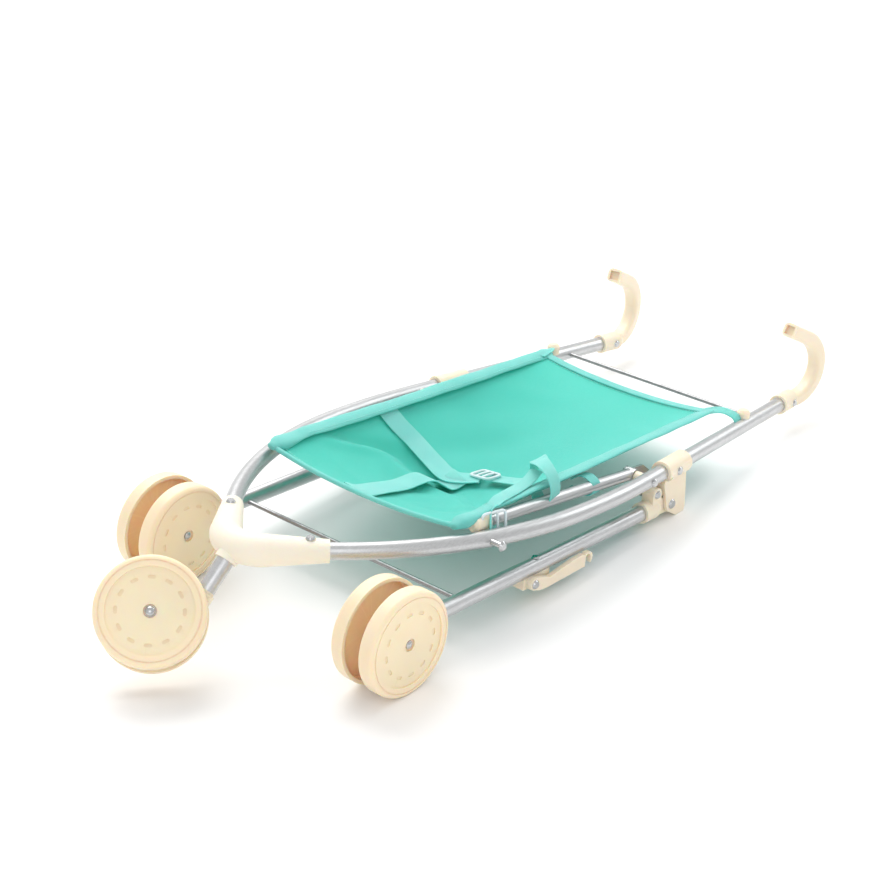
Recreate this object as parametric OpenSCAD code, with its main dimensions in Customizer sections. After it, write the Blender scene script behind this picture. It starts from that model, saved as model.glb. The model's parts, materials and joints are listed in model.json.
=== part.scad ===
// Folding three-wheel doll stroller, folded flat and lying on its back with the seat side up.
// +X runs from the front wheel to the handles, +Y is the pusher's right, Z = 0 is the table.
// Places on the frame are given along the frame plane: u from the yoke mouths towards the
// handles, w sideways from the middle and n square to the plane. Places on a rear leg are
// distances s from its pivot towards the wheel.

/* [Frame tubes] */
// Outside diameter of the frame and leg tubes
tube_d = 13; // [11:0.5:15]
// Wall of the steel tubes
tube_wall = 0.8; // [0.6:0.1:1.4]
// Half distance between the two frame tubes where they leave the yoke
mouth_half = 51.1; // [44:0.5:60]
// Plan angle of each frame tube where it leaves the yoke
mouth_heading = 42.2; // [36:0.5:46]
// Radius of the tight bend behind the yoke
bend_front_r = 295.3; // [250:5:340]
// Plan angle between the two bends
mid_heading = 3.3; // [2:0.1:5]
// Radius of the long bend beside the seat
bend_side_r = 551.5; // [460:5:660]
// Plan angle of the straight handle stretch, towards the middle
handle_heading = 6.4; // [4:0.1:8]
// Distance along the frame from the yoke mouths to the ends of the tubes
frame_len = 522; // [450:1:640]
// Tilt of the folded frame from the table
lay = 6.34; // [4:0.1:8]

/* [Rear legs] */
// Distance from a rear leg's pivot to the wheel axle
leg_len = 322.7; // [270:1:400]
// Distance along the frame from the yoke mouths to the leg pivots
pivot_u = 320.2; // [290:1:350]
// Distance of the leg pivots below the frame tubes
pivot_drop = 32.5; // [30:0.5:42]
// Height of the leg pivots over the table
pivot_h = 12.7; // [12:0.1:15]
// Half distance between the two rear legs
leg_half = 115.65; // [110:0.5:122]
// Angle through which the rear legs open
open_angle = 59.6; // [50:0.1:70]
// Thickness of the leg's tongue between the bracket ears
tongue_t = 7; // [5:0.5:8]
// Distance of the crank pin from the leg pivot, along the leg
crank_s = 19.8; // [18:0.1:24]
// Height of the crank pin over the leg's axis
crank_n = 13.8; // [12:0.1:17]
// Distance of the cross rod from the leg pivots
leg_rod_s = 247.8; // [200:1:260]

/* [Wheels] */
// Diameter of the wheels
wheel_d = 80; // [66:1:96]
// Thickness of one wheel disc
disc_t = 12.1; // [10:0.1:15]
// Gap between the two discs of a wheel
disc_gap = 16.2; // [15.6:0.1:20]
// Diameter of the wheel axles
axle_d = 4; // [3:0.5:5]
// Number of dimples in a disc's face
dimples = 12; // [8:1:16]

/* [Front caster] */
// Distance from the yoke mouths forward to the head of the stem
apex_u = 43.1; // [36:0.5:50]
// Angle of the stem from square to the frame plane
stem_lean = 45.4; // [38:0.5:52]
// Length of the stem, from the frame plane to its lower end
stem_len = 39; // [35:0.5:50]
// Distance along the stem to the level of the front axle
axle_drop = 73.5; // [68:0.5:96]
// Trail of the caster
trail = 23; // [20:0.5:32]
// Turn of the caster about the stem in the folded stroller
caster_turn = 126; // [0:1:359]

/* [Seat arms] */
// Outside diameter of the seat arms
arm_d = 10; // [8:0.5:11]
// Half distance between the seat arms at their pivots
arm_half = 107; // [104:0.5:108]
// Half distance between the seat arms at the front edge of the seat
arm_tip_half = 100; // [96:0.5:104]
// Distance along the frame from the yoke mouths to the arm pivots
arm_u = 280.3; // [272:0.5:286]
// Length of a seat arm in front of its pivot
arm_len = 180; // [150:1:200]
// Angle between the folded seat arms and the frame
arm_rise = 2.5; // [1.5:0.1:4]

/* [Handles] */
// Outside diameter of the handle sockets
handle_d = 17.4; // [16.5:0.1:20]
// Width of the hooked grip
grip_w = 14; // [12:0.5:17]
// Thickness of the hooked grip
grip_t = 12.6; // [11:0.1:15]
// Inner bend of the grip, to its middle line
grip_low_r = 27; // [23:0.5:34]
// Outer bend of the grip, to its middle line
grip_high_r = 32; // [26:0.5:38]
// Straight stretch at the grip's tip
grip_tip = 26; // [18:1:34]
// Plan angle of the grips, away from the middle
grip_heading = 8.3; // [4:0.1:12]

/* [Sling seat] */
// Half width of the sling at its front edge
sling_front_half = 92; // [84:0.5:93]
// Half width of the sling at its back edge
sling_back_half = 89; // [80:0.5:92]
// Distance along the frame from the yoke mouths to the sling's front edge
sling_front_u = 84; // [78:1:96]
// Distance along the frame from the yoke mouths to the sling's back edge
sling_back_u = 412; // [380:1:430]
// Height of the sling's front corners over the frame plane
sling_front_n = 8.5; // [6:0.5:12]
// Height of the sling's back corners over the frame plane
sling_back_n = 14; // [10:0.5:18]
// Sag of the middle of the sling below its side hems
sling_sag = 33; // [20:1:38]
// Thickness of the sling as a solid
sling_t = 2; // [1.5:0.1:3]
// Width of the harness straps
strap_w = 15; // [12:0.5:20]

/* [Hidden] */
$fn = 96;
running = 0.05; // radial clearance of a pin in its bore
side_gap = 0.3; // clearance between faces that move past each other
tube_r = tube_d / 2;
bore_r = tube_r - tube_wall;
wheel_r = wheel_d / 2;
axle_r = axle_d / 2;
arm_r = arm_d / 2;
plate_t = 3; // ears, lugs and tongues of the bracket
pin_r = 2.5; // leg pivots
small_pin_r = 1.5; // crank and link pins
arm_pin_r = 2; // seat arm pivots
rod_r = 1.8;
screw_r = 3.6;

pivot_z = pivot_h;
pivot_x = sqrt(pow(leg_len, 2) - pow(wheel_r - pivot_z, 2));
leg_tilt = asin((wheel_r - pivot_z) / leg_len);
frame_x = pivot_x - pivot_u * cos(lay) + pivot_drop * sin(lay);
frame_z = pivot_z + pivot_u * sin(lay) + pivot_drop * cos(lay);

function arc_end(p, h, r, sweep) =
    [p.x + r * (sin(h) - sin(h - sweep)), p.y + r * (cos(h - sweep) - cos(h))];
mouth = [0, mouth_half];
front_sweep = mouth_heading - mid_heading;
side_sweep = mid_heading + handle_heading;
bend_a = arc_end(mouth, mouth_heading, bend_front_r, front_sweep);
bend_b = arc_end(bend_a, mid_heading, bend_side_r, side_sweep);
straight_len = (frame_len - bend_b.x) / cos(handle_heading);
// sideways place of a frame tube's axis on its straight stretch, and on the bend beside the seat
function tube_w(u) = bend_b.y - (u - bend_b.x) * tan(handle_heading);
function side_tube_w(u) = u > bend_b.x ? tube_w(u)
    : bend_b.y + bend_side_r * (sqrt(1 - pow(side_slope(u), 2)) - cos(handle_heading));
function side_slope(u) = sin(mid_heading) - (u - bend_a.x) / bend_side_r;

stub = 20; // length of frame tube inside the yoke
sleeve_r = tube_r + 2.7;
sleeve_front = pivot_u - 19;
sleeve_back = pivot_u + 15;
ear_r = 7;
ear_in = leg_half - tongue_t / 2 - side_gap; // inner ear's face to the tongue
ear_out = leg_half + tongue_t / 2 + side_gap;
socket_r = tube_r + 2.1;
socket_start = 13.3;
socket_len = 20.7;
tube_stop = socket_start + 5;
crank_r = 5.5;
crank_in = leg_half - 5.65;
crank_out = leg_half + 5.85;
tail_t = 2.5;
tail_in = arm_half - 2.6;
lift_ratio = 0.7; // turn of the seat arms for each degree the legs open

// the crank pin's place in frame coordinates, with the legs open by a degrees
crank_len = norm([crank_s, crank_n]);
lay_to_leg = lay - leg_tilt;
function crank_at(a) = [
    pivot_u - crank_len * cos(lay_to_leg - atan2(crank_n, crank_s) + a),
    -pivot_drop + crank_len * sin(atan2(crank_n, crank_s) - lay_to_leg - a)
];

foot_r = disc_gap / 2 - side_gap;
leg_end = leg_len - 15; // where the leg tube ends short of the axle

stud_u = 100.5;
function front_bend_w(u) =
    mouth.y + bend_front_r * (cos(mouth_heading - bend_turn(u)) - cos(mouth_heading));
function bend_turn(u) = mouth_heading - asin(sin(mouth_heading) - u / bend_front_r);
latch_s = 176.2; // latch pivot along the leg
latch_n = -8.5;
latch_in = leg_half + tube_r + side_gap;
latch_t = 4;
stud_len = latch_in + latch_t + 2 * side_gap - front_bend_w(stud_u);
latch_r = 5;

// overall length, from the front wheel's rim to the back of the grips
caster_axis = [
    sin(stem_lean + lay) * -axle_drop,
    cos(stem_lean + lay) * -axle_drop
];
trail_in_plane = trail * cos(caster_turn);
front_hub_x = frame_x - apex_u * cos(lay) + caster_axis.x + trail_in_plane * cos(stem_lean + lay);
axle_lean_x = -sin(caster_turn) * cos(stem_lean + lay);
rim_round = 3.5;
front_x = front_hub_x - (wheel_r - rim_round) * sqrt(1 - pow(axle_lean_x, 2))
    - (disc_gap / 2 + disc_t - rim_round) * abs(axle_lean_x) - rim_round;
grip_lead = 6;
grip_round = 4.2;
grip_side_x = sin(grip_heading) * cos(lay);
back_x = frame_x + (frame_len + grip_lead * cos(grip_heading)) * cos(lay) + grip_low_r * sin(lay)
    + (grip_low_r + grip_t / 2 - grip_round) * sqrt(1 - pow(grip_side_x, 2))
    + (grip_w / 2 - grip_round) * grip_side_x + grip_round;
mid_x = (front_x + back_x) / 2;

cream = [0.98, 0.88, 0.70];
steel = [0.72, 0.72, 0.75];
bright = [0.85, 0.85, 0.88];
mint = [0.42, 0.87, 0.76];
white_plastic = [0.95, 0.95, 0.96];

module placed() {
    translate([-mid_x, 0, 0]) children();
}

module in_frame() {
    placed() translate([frame_x, 0, frame_z]) rotate([0, lay, 0]) children();
}

module in_leg() {
    placed() translate([pivot_x, 0, pivot_z]) rotate([0, leg_tilt, 0]) children();
}

module in_stem() {
    in_frame() translate([-apex_u, 0, 0]) rotate([0, stem_lean, 0]) children();
}

module in_caster() {
    in_stem() rotate([0, 0, caster_turn]) translate([trail, 0, -axle_drop]) children();
}

module in_arm() {
    in_frame() translate([arm_u, 0, 0]) rotate([0, arm_rise, 0]) children();
}

// side is 1 for right and -1 for left
module on_side(side) {
    mirror([0, side < 0 ? 1 : 0, 0]) children();
}

// a round bar across the stroller, from w = a to w = b
module cross_bar(r, a, b) {
    translate([0, a, 0]) rotate([-90, 0, 0]) cylinder(r = r, h = b - a);
}

// A bar or tube in four stretches. Two of them are nest thinner, and end seam inside the others.
module tube_run(outer, inner = 0) {
    translate([mouth.x, mouth.y, 0]) rotate([0, -90, mouth_heading]) translate([0, 0, -seam])
        linear_extrude(stub + seam) ring(outer - nest, inner + nest);
    bend(mouth, mouth_heading, bend_front_r, front_sweep) ring(outer, inner);
    bend(bend_a, mid_heading, bend_side_r, side_sweep, seam) ring(outer - nest, inner + nest);
    translate([bend_b.x, bend_b.y, 0]) rotate([0, 90, -handle_heading])
        linear_extrude(straight_len) ring(outer, inner);
}
seam = 0.6;
nest = 0.05;

module ring(outer, inner) {
    difference() {
        circle(outer);
        if (inner > 1) circle(inner);
    }
}

module bend(p, h, big_r, sweep, more = 0) {
    turn = asin(more / big_r);
    translate([p.x + big_r * sin(h), p.y - big_r * cos(h), 0]) rotate([0, 0, 90 + h - sweep - turn])
        rotate_extrude(angle = sweep + 2 * turn) translate([big_r, 0]) children();
}

module frame_tube(side) {
    color(steel) on_side(side) in_frame() difference() {
        tube_run(tube_r, bore_r);
        translate([rod_u, 0, 0]) cross_bar(rod_r, 0, tube_w(rod_u));
        bracket_rivet_hole(2);
        translate([arm_u, 0, 0]) cross_bar(arm_pin_r, 90, 150);
        if (side < 0) latch_stud_shape(stud_r, 0);
    }
}

rod_u = 460;
stud_r = 2.5;
rivet_u = pivot_u - 5;
rivet_r = 2;

// square to the tube, through its middle
module bracket_rivet_hole(extra) {
    translate([rivet_u, tube_w(rivet_u), 0]) rotate([-90, 0, -handle_heading])
        translate([0, 0, -sleeve_r - extra]) cylinder(r = rivet_r, h = 2 * (sleeve_r + extra));
}

module bracket_rivets() {
    color(bright) for (side = [-1, 1]) on_side(side) in_frame()
        translate([rivet_u, tube_w(rivet_u), 0]) rotate([-90, 0, -handle_heading]) {
            translate([0, 0, -sleeve_r]) cylinder(r = rivet_r, h = 2 * sleeve_r);
            for (end = [0, 1]) mirror([0, 0, end]) translate([0, 0, sleeve_r])
                cylinder(r1 = screw_r, r2 = screw_r - 1, h = 1.2);
        }
}

module side_bracket(side) {
    color(cream) on_side(side) difference() {
        union() {
            in_frame() translate([sleeve_front, tube_w(sleeve_front), 0])
                rotate([0, 90, -handle_heading])
                    cylinder(r = sleeve_r, h = (sleeve_back - sleeve_front) / cos(handle_heading));
            at_pivot() bracket_web(ear_in - plate_t, ear_out + plate_t);
        }
        in_frame() translate([sleeve_front - 4, tube_w(sleeve_front - 4), 0])
            rotate([0, 90, -handle_heading]) cylinder(r = tube_r, h = sleeve_back - sleeve_front + 24);
        in_frame() translate([sleeve_front - 1, tube_w(sleeve_front) - 12, -12]) cube([7, 24, 9]);
        at_pivot() cross_bar(ear_r + 3.4, ear_in, ear_out);
        at_pivot() translate([-60, ear_in, -40]) cube([63, ear_out - ear_in, 50]);
        at_pivot() cross_bar(pin_r, 90, 140);
        in_frame() bracket_rivet_hole(2);
        in_frame() translate([rivet_u, tube_w(rivet_u), 0]) rotate([90, 0, -handle_heading])
            translate([0, 0, sleeve_r]) cylinder(r = screw_r, h = 8);
    }
}

// at the pivot of the legs, with X and Z level and upright
module at_pivot() {
    placed() translate([pivot_x, 0, pivot_z]) children();
}

// the ears and the web over them, between w = a and w = b
module bracket_web(a, b) {
    cross_bar(ear_r, a, b);
    top = pivot_drop + 1;
    translate([0, b, 0]) rotate([90, 0, 0]) linear_extrude(b - a) polygon([
        [-ear_r, 0], [-ear_r * 0.7, -ear_r * 0.7], [6, -pivot_h], [16, -pivot_h], [18, -9],
        [18, top - 10], [17, top - 2], [-11, top], [-12, top - 9], [-9, 12]
    ]);
}

module rivet_across(r, head_r, a, b, head_t = 1.2) {
    cross_bar(r, a, b);
    translate([0, b, 0]) rotate([-90, 0, 0]) cylinder(r1 = head_r, r2 = head_r - 1, h = head_t);
    translate([0, a, 0]) rotate([90, 0, 0]) cylinder(r1 = head_r, r2 = head_r - 1, h = head_t);
}

module leg_pivot_rivets() {
    color(bright) for (side = [-1, 1]) on_side(side) in_frame()
        translate([pivot_u, 0, -pivot_drop])
            rivet_across(pin_r, 4.2, ear_in - plate_t, ear_out + plate_t);
}

// the outer head clears the side of the slanting tube
arm_rivet_out = side_tube_w(arm_u) + tube_r / cos(handle_heading) + screw_r * tan(handle_heading) + nest;

module arm_pivot_rivets() {
    color(bright) for (side = [-1, 1]) on_side(side) in_frame() translate([arm_u, 0, 0])
        rivet_across(arm_pin_r, screw_r, arm_half - arm_r - side_gap, arm_rivet_out);
}

// washer between the seat arm and the frame tube
module arm_spacer(side) {
    color(cream) on_side(side) in_frame() difference() {
        translate([arm_u, 0, 0]) cross_bar(4.2, arm_half + arm_r + side_gap, side_tube_w(arm_u));
        tube_run(tube_r);
        translate([arm_u, 0, 0]) cross_bar(arm_pin_r, 90, 150);
    }
}

module front_yoke() {
    color(cream) in_frame() difference() {
        union() {
            for (side = [-1, 1]) on_side(side)
                translate([mouth.x, mouth.y, 0]) rotate([0, -90, mouth_heading])
                    cylinder(r1 = yoke_mouth_r, r2 = yoke_head_r - nest, h = yoke_arm + seam);
            translate([yoke_bend_r / cos(yoke_turn) - yoke_corner, 0, 0]) rotate([0, 0, 90 + mouth_heading])
                rotate_extrude(angle = 2 * yoke_turn) translate([yoke_bend_r, 0]) circle(yoke_head_r);
            translate([-apex_u, 0, 0]) rotate([0, stem_lean, 0])
                translate([0, 0, -yoke_boss]) cylinder(r = tube_r + 2.2, h = yoke_boss);
        }
        for (side = [-1, 1]) on_side(side) {
            translate([mouth.x, mouth.y, 0]) rotate([0, -90, mouth_heading])
                translate([0, 0, -1]) cylinder(r = tube_r, h = stub + 1);
            yoke_screw_place() cylinder(r = 1.6, h = 40, center = true);
        }
        translate([-apex_u, 0, 0]) rotate([0, stem_lean, 0])
            translate([0, 0, -stem_len]) cylinder(r = tube_r, h = stem_len - 3);
    }
}

yoke_mouth_r = tube_r + 2;
yoke_head_r = tube_r + 5.6;
yoke_boss = yoke_head_r + 1.6;
yoke_turn = 90 - mouth_heading; // half the turn of the yoke's bend
yoke_corner = mouth_half / tan(mouth_heading); // where the two tube axes would meet
yoke_bend_r = max(yoke_head_r + 2, (yoke_corner - apex_u) / (1 / cos(yoke_turn) - 1));
yoke_arm = mouth_half / sin(mouth_heading) - yoke_bend_r * tan(yoke_turn);

module yoke_screw_place() {
    translate([mouth.x, mouth.y, 0]) rotate([0, 0, mouth_heading]) translate([-yoke_screw_in, 0, 0])
        children();
}
yoke_screw_in = 14; // from the mouth
yoke_screw_seat = yoke_mouth_r + (yoke_head_r - yoke_mouth_r) * (yoke_screw_in + screw_r) / yoke_arm;

module yoke_screws() {
    color(bright) for (side = [-1, 1]) on_side(side) in_frame() yoke_screw_place() {
        translate([0, 0, tube_r]) cylinder(r = 1.6, h = yoke_screw_seat - tube_r);
        translate([0, 0, yoke_screw_seat]) cylinder(r1 = screw_r, r2 = screw_r - 1, h = 1.4);
    }
}

module front_stem() {
    color(steel) in_stem() translate([0, 0, -stem_len]) difference() {
        cylinder(r = tube_r, h = stem_len - 3);
        translate([0, 0, -1]) cylinder(r = bore_r, h = stem_len);
    }
}

caster_pin_r = 3;
bush_len = 22;

module stem_bush() {
    color(cream) in_stem() translate([0, 0, -stem_len - 1.5]) difference() {
        union() {
            cylinder(r = bore_r, h = bush_len);
            cylinder(r = tube_r, h = 1.5);
        }
        translate([0, 0, -1]) cylinder(r = caster_pin_r + running, h = bush_len + 2);
    }
}

module top_rod() {
    color(steel) in_frame() translate([rod_u, 0, 0])
        cross_bar(rod_r, -tube_w(rod_u) + tube_r - 2, tube_w(rod_u) - tube_r + 2);
}

module sling_knob(side) {
    color(cream) on_side(side) in_frame() translate([knob_u, tube_w(knob_u) - 2, 0]) difference() {
        union() {
            cylinder(r = 5.6, h = 11);
            translate([0, 0, 11]) cylinder(r1 = 5.6, r2 = 3.8, h = 2.2);
        }
        translate([-20, 2 + 20 * tan(handle_heading), 0]) rotate([0, 90, -handle_heading])
            cylinder(r = tube_r, h = 44);
        translate([-10, -10, -1]) cube([20, 20, 1 + tube_r - 3]);
    }
}
knob_u = 441;

module latch_stud_shape(r, head) {
    translate([stud_u, front_bend_w(stud_u), 0]) rotate([-90, 0, 0]) {
        cylinder(r = r, h = stud_len);
        if (head > 0) translate([0, 0, stud_len]) cylinder(r1 = head, r2 = head - 1.4, h = 1.6);
    }
}

module latch_stud() {
    color(bright) on_side(-1) in_frame() latch_stud_shape(stud_r, stud_r + 1.6);
}

module grip_section(less = 0) {
    offset_r = grip_round - less;
    square([grip_t - 2 * grip_round, grip_w - 2 * less], center = true);
    square([grip_t - 2 * less, grip_w - 2 * grip_round], center = true);
    for (a = [-1, 1]) for (b = [-1, 1])
        translate([a * (grip_t / 2 - grip_round), b * (grip_w / 2 - grip_round)]) circle(offset_r);
}

low_turn = 96;
high_turn = 60;

// one bend of the grip, starting at the origin towards +X and curving up
module grip_bend(r, turn, more = 0) {
    extra = asin(more / r);
    translate([0, r, 0]) rotate([0, 0, -90 - extra])
        rotate_extrude(angle = turn + 2 * extra) translate([r, 0]) grip_section(more > 0 ? nest : 0);
}

module grip() {
    rotate([90, 0, 0]) {
        grip_bend(grip_low_r, low_turn, seam);
        translate([grip_low_r * sin(low_turn), grip_low_r * (1 - cos(low_turn)), 0])
            rotate([0, 0, low_turn]) {
                grip_bend(grip_high_r, high_turn);
                translate([grip_high_r * sin(high_turn), grip_high_r * (1 - cos(high_turn)), 0])
                    rotate([0, 0, high_turn]) grip_tip_shape();
            }
    }
}

// the straight tip, with its open square end
module grip_tip_shape() {
    difference() {
        translate([-seam, 0, 0]) rotate([90, 0, 90]) linear_extrude(grip_tip + seam)
            grip_section(nest);
        translate([grip_tip - 2.5, -grip_t / 2 + 2.4, -grip_w / 2 + 2.4])
            cube([4, grip_t - 4.8, grip_w - 4.8]);
    }
}

module handle(side) {
    color(cream) on_side(side) in_frame() translate([frame_len, tube_w(frame_len), 0]) difference() {
        union() {
            rotate([0, 90, -handle_heading]) {
                translate([0, 0, -handle_grab]) cylinder(r = handle_d / 2, h = handle_grab + 3);
                translate([0, 0, 3]) cylinder(r1 = handle_d / 2, r2 = handle_d / 2 - 2, h = 4);
            }
            translate([grip_lead * cos(grip_heading), grip_lead * sin(grip_heading), 0])
                rotate([0, 0, grip_heading]) {
                    rotate([90, 0, 0]) translate([-grip_lead, 0, 0]) rotate([90, 0, 90])
                        linear_extrude(grip_lead) grip_section();
                    grip();
                }
        }
        rotate([0, 90, -handle_heading]) translate([0, 0, -handle_grab - 1])
            cylinder(r = tube_r, h = handle_grab + 1);
        handle_screw_place() cylinder(r = 1.5, h = 30, center = true);
    }
}
handle_grab = 18.5;

module handle_screw_place() {
    rotate([0, 0, -handle_heading]) translate([-3.5, 0, 0]) rotate([-90, 0, 0]) children();
}

module handle_screws() {
    color(bright) for (side = [-1, 1]) on_side(side) in_frame()
        translate([frame_len, tube_w(frame_len), 0]) handle_screw_place()
            for (end = [0, 1]) mirror([0, 0, end]) {
                translate([0, 0, tube_r]) cylinder(r = 1.5, h = handle_d / 2 - tube_r);
                translate([0, 0, handle_d / 2]) cylinder(r1 = 3.2, r2 = 2.2, h = 1.1);
            }
}

module rear_leg(side) {
    color(steel) on_side(side) in_leg() translate([0, leg_half, 0]) difference() {
        translate([-leg_end, 0, 0]) rotate([0, 90, 0]) cylinder(r = tube_r, h = leg_end - tube_stop);
        translate([-leg_end - 1, 0, 0]) rotate([0, 90, 0]) cylinder(r = bore_r, h = leg_end);
        translate([-leg_rod_s, 0, 0]) cross_bar(rod_r, -tube_r - 1, 0);
        if (side < 0) translate([-latch_screw_s, 0, 0]) cylinder(r = 1.5, h = 20, center = true);
    }
}
latch_screw_s = latch_s - 11;

module leg_socket(side) {
    color(cream) on_side(side) in_leg() difference() {
        union() {
            translate([-socket_start - socket_len, leg_half, 0]) rotate([0, 90, 0]) {
                cylinder(r = socket_r, h = socket_len - 5);
                translate([0, 0, socket_len - 5]) cylinder(r1 = socket_r, r2 = socket_r - 2.6, h = 5);
            }
            cross_bar(8, leg_half - tongue_t / 2, leg_half + tongue_t / 2);
            translate([-socket_start - 1, leg_half - tongue_t / 2, -7])
                cube([socket_start + 1, tongue_t, 14]);
            translate([-crank_s, 0, crank_n]) cross_bar(crank_r, crank_in, crank_out);
            translate([-crank_s - crank_r, crank_in, 0])
                cube([2 * crank_r, crank_out - crank_in, crank_n]);
        }
        translate([-socket_start - socket_len - 1, leg_half, 0]) rotate([0, 90, 0])
            cylinder(r = tube_r, h = socket_len - 4);
        cross_bar(pin_r + running, 90, 140);
        translate([-crank_s, 0, crank_n]) cross_bar(small_pin_r, 90, 140);
    }
}

module crank_pins() {
    color(bright) for (side = [-1, 1]) on_side(side) in_leg() translate([-crank_s, 0, crank_n])
        rivet_across(small_pin_r, screw_r, tail_in - side_gap, crank_out);
}

module leg_rod() {
    color(steel) in_leg() translate([-leg_rod_s, 0, 0])
        cross_bar(rod_r, -leg_half + tube_r - 2, leg_half - tube_r + 2);
}

module axle_foot(side) {
    color(cream) on_side(side) in_leg() translate([-leg_len, leg_half, 0]) difference() {
        union() {
            cross_bar(7.4, -foot_r, foot_r);
            rotate([0, 90, 0]) cylinder(r = tube_r, h = leg_len - leg_end);
            rotate([0, 90, 0]) cylinder(r = bore_r, h = leg_len - leg_end + 18);
        }
        cross_bar(axle_r + running, -20, 20);
    }
}

module latch_base() {
    color(cream) on_side(-1) in_leg() difference() {
        union() {
            translate([-latch_s - 7, leg_half - 6, latch_n - 5]) cube([30, 11, 5 - latch_n]);
            translate([-latch_s, 0, latch_n]) cross_bar(latch_r, leg_half - 6, latch_in - side_gap);
        }
        translate([-latch_s - 20, leg_half, 0]) rotate([0, 90, 0]) cylinder(r = tube_r, h = 60);
        translate([-latch_s, 0, latch_n]) cross_bar(arm_pin_r, 90, 140);
        translate([-latch_screw_s, leg_half, -30]) cylinder(r = 1.5, h = 30);
    }
}

module latch_pin() {
    color(bright) on_side(-1) in_leg() translate([-latch_s, 0, latch_n])
        rivet_across(arm_pin_r, screw_r, leg_half - 6, latch_in + latch_t + side_gap);
}

module latch_screw() {
    color(bright) on_side(-1) in_leg() translate([-latch_screw_s, leg_half, 0]) {
        translate([0, 0, latch_n]) cylinder(r = 1.5, h = tube_r - latch_n);
        translate([0, 0, tube_r]) cylinder(r1 = 3.2, r2 = 2.2, h = 1.1);
    }
}

// reach from the latch pivot to the stud on the frame tube
latch_pivot = [
    pivot_x - latch_s * cos(leg_tilt) + latch_n * sin(leg_tilt),
    pivot_z + latch_s * sin(leg_tilt) + latch_n * cos(leg_tilt)
];
stud_place = [frame_x + stud_u * cos(lay), frame_z - stud_u * sin(lay)];
latch_reach = norm(stud_place - latch_pivot);
latch_droop = 4;

module latch_hook() {
    color(cream) on_side(-1) placed() translate([latch_pivot.x, latch_in, latch_pivot.y])
        rotate([0, latch_droop, 0]) difference() {
            union() {
                cross_bar(latch_r, 0, latch_t);
                translate([0, latch_t, 0]) rotate([90, 0, 0]) linear_extrude(latch_t) polygon([
                    [-3, -4], [6, -7], [16, -7.8], [latch_reach - 2, -6.6], [latch_reach + 4, -4],
                    [latch_reach - 6, 4.5], [latch_reach - 18, 4], [18, 0], [4, 4.6], [-1, 4.8]
                ]);
                translate([latch_reach, 0, -1]) cross_bar(stud_r + 3.2, 0, latch_t);
            }
            translate([latch_reach, 0, 0]) cross_bar(stud_r + 0.4, -1, latch_t + 1);
            translate([latch_reach, latch_t + 1, 0]) rotate([90, 0, 0]) linear_extrude(latch_t + 2)
                polygon([[-stud_r - 0.4, 0], [-stud_r - 1.6, -14], [stud_r + 1.4, -14], [stud_r + 0.4, 0]]);
            cross_bar(arm_pin_r + running, -1, latch_t + 1);
        }
}

hub_r = 7;
hub_cup_r = 4.8;
hub_cup = 3;
rim_wall = 2.8;
face_t = 2.8;
face_step = 1.1;
face_r = wheel_r * 0.79;
dimple_ring = wheel_r * 0.6;

// one disc: a cup, open at z = 0, with its face at z = disc_t
module wheel_disc() {
    color(cream) difference() {
        rotate_extrude() difference() {
            union() {
                square([wheel_r - rim_round, disc_t]);
                square([wheel_r, disc_t - rim_round]);
                translate([wheel_r - rim_round, disc_t - rim_round]) circle(rim_round);
            }
            translate([hub_r, -1]) square([wheel_r - rim_wall - hub_r, disc_t - face_t + 1]);
            square([axle_r, disc_t]);
            translate([0, disc_t - face_step]) square([face_r, face_step + 1]);
            translate([0, disc_t - hub_cup]) square([hub_cup_r, hub_cup + 1]);
            translate([wheel_r * 0.885, disc_t - 0.45]) square([0.9, 1]);
        }
        for (i = [0:dimples - 1]) rotate([0, 0, i * 360 / dimples])
            translate([dimple_ring, 0, disc_t - face_step - 0.5]) {
                translate([-1.3, -1.6, 0]) cube([2.6, 3.2, 2]);
                for (end = [-1, 1]) translate([0, end * 1.6, 0]) cylinder(r = 1.3, h = 2, $fn = 24);
            }
    }
}

// a disc on the side of the hub given by end, 1 or -1, with the axle along Y
module disc_at(end) {
    rotate([-90 * end, 0, 0]) translate([0, 0, disc_gap / 2]) wheel_disc();
}

module axle_pin() {
    half = disc_gap / 2 + disc_t - hub_cup + 1.2;
    cross_bar(axle_r, -half, half);
}

module dome_caps(r) {
    for (end = [0, 1]) mirror([0, end, 0])
        translate([0, disc_gap / 2 + disc_t - hub_cup, 0]) rotate([-90, 0, 0]) difference() {
            union() {
                cylinder(r = r, h = 1.2);
                intersection() {
                    translate([0, 0, -r * 0.35]) sphere(r * 1.15);
                    translate([-r, -r, 1.2]) cube([2 * r, 2 * r, r]);
                }
            }
            translate([0, 0, -1]) cylinder(r = axle_r, h = 1 + 1.2);
        }
}

module rear_wheel_place(side) {
    on_side(side) placed() translate([0, leg_half, wheel_r]) children();
}

module caster_body() {
    color(cream) in_caster() difference() {
        union() {
            cross_bar(8.4, -foot_r, foot_r);
            translate([-trail, 0, axle_drop - stem_len - 1.5 - side_gap - collar_h])
                cylinder(r = collar_r, h = collar_h);
            caster_web();
        }
        cross_bar(axle_r + running, -20, 20);
        translate([-trail, 0, 0]) cylinder(r = caster_pin_r, h = axle_drop);
    }
}
collar_r = disc_gap / 2 - side_gap;
collar_h = 12;
collar_top = axle_drop - stem_len - 1.5 - side_gap;

module caster_web() {
    web_w = 2 * foot_r - 2;
    translate([0, web_w / 2, 0]) rotate([90, 0, 0]) linear_extrude(web_w) polygon([
        [6, 5], [5, -6.5], [-6, -6], [-trail - 6.6, collar_top - collar_h - 6],
        [-trail - collar_r + 1, collar_top - 2], [-trail + collar_r - 1, collar_top - 2]
    ]);
}

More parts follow.
